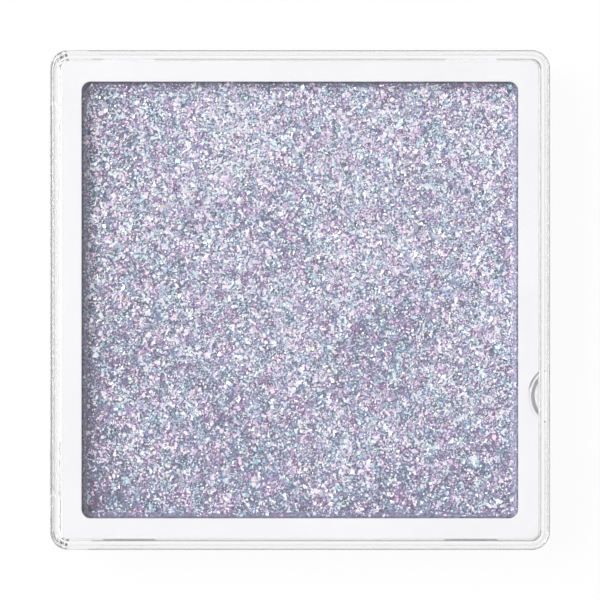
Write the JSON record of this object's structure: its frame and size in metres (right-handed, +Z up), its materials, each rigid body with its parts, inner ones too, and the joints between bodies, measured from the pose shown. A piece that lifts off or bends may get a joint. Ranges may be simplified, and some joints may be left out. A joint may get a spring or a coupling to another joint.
{
  "type": "eyeshadow palette",
  "caption": "Square clear compact with a hinged lid that snaps shut over a white frame and a square pan of pressed glitter eyeshadow.",
  "frame": {"origin": "middle of the base's underside, on the surface that the closed palette lies on", "axes": "+Z up through the lid, +X towards the catch side with the nail scoop, -X towards the hinge; the hinge axis runs along Y"},
  "size_m": [0.038, 0.038, 0.0076],
  "materials": {
    "clear_base": "clear moulded styrene, polished",
    "clear_lid": "clear moulded styrene, polished",
    "white_plastic": "white moulded ABS, semi-gloss",
    "pan_metal": "drawn aluminium, satin",
    "adhesive": "soft adhesive pad",
    "glitter_powder": "pressed glitter powder, lavender grey with lilac, ice-blue and white sparkle",
    "pin_steel": "drawn stainless wire"
  },
  "bodies": {
    "base": {"base_shell": "clear_base", "inner_frame": "white_plastic", "pan": "pan_metal", "pan_adhesive": "adhesive", "eyeshadow_cake": "glitter_powder", "hinge_pin_left": "pin_steel", "hinge_pin_right": "pin_steel"},
    "lid": {"lid_shell": "clear_lid"}
  },
  "joints": [
    {"name": "lid_hinge", "type": "hinge", "parent": "base", "child": "lid", "pos_m": [-0.018, 0, 0.00235], "axis": [0, -1, 0], "range_deg": [0, 110]}
  ]
}
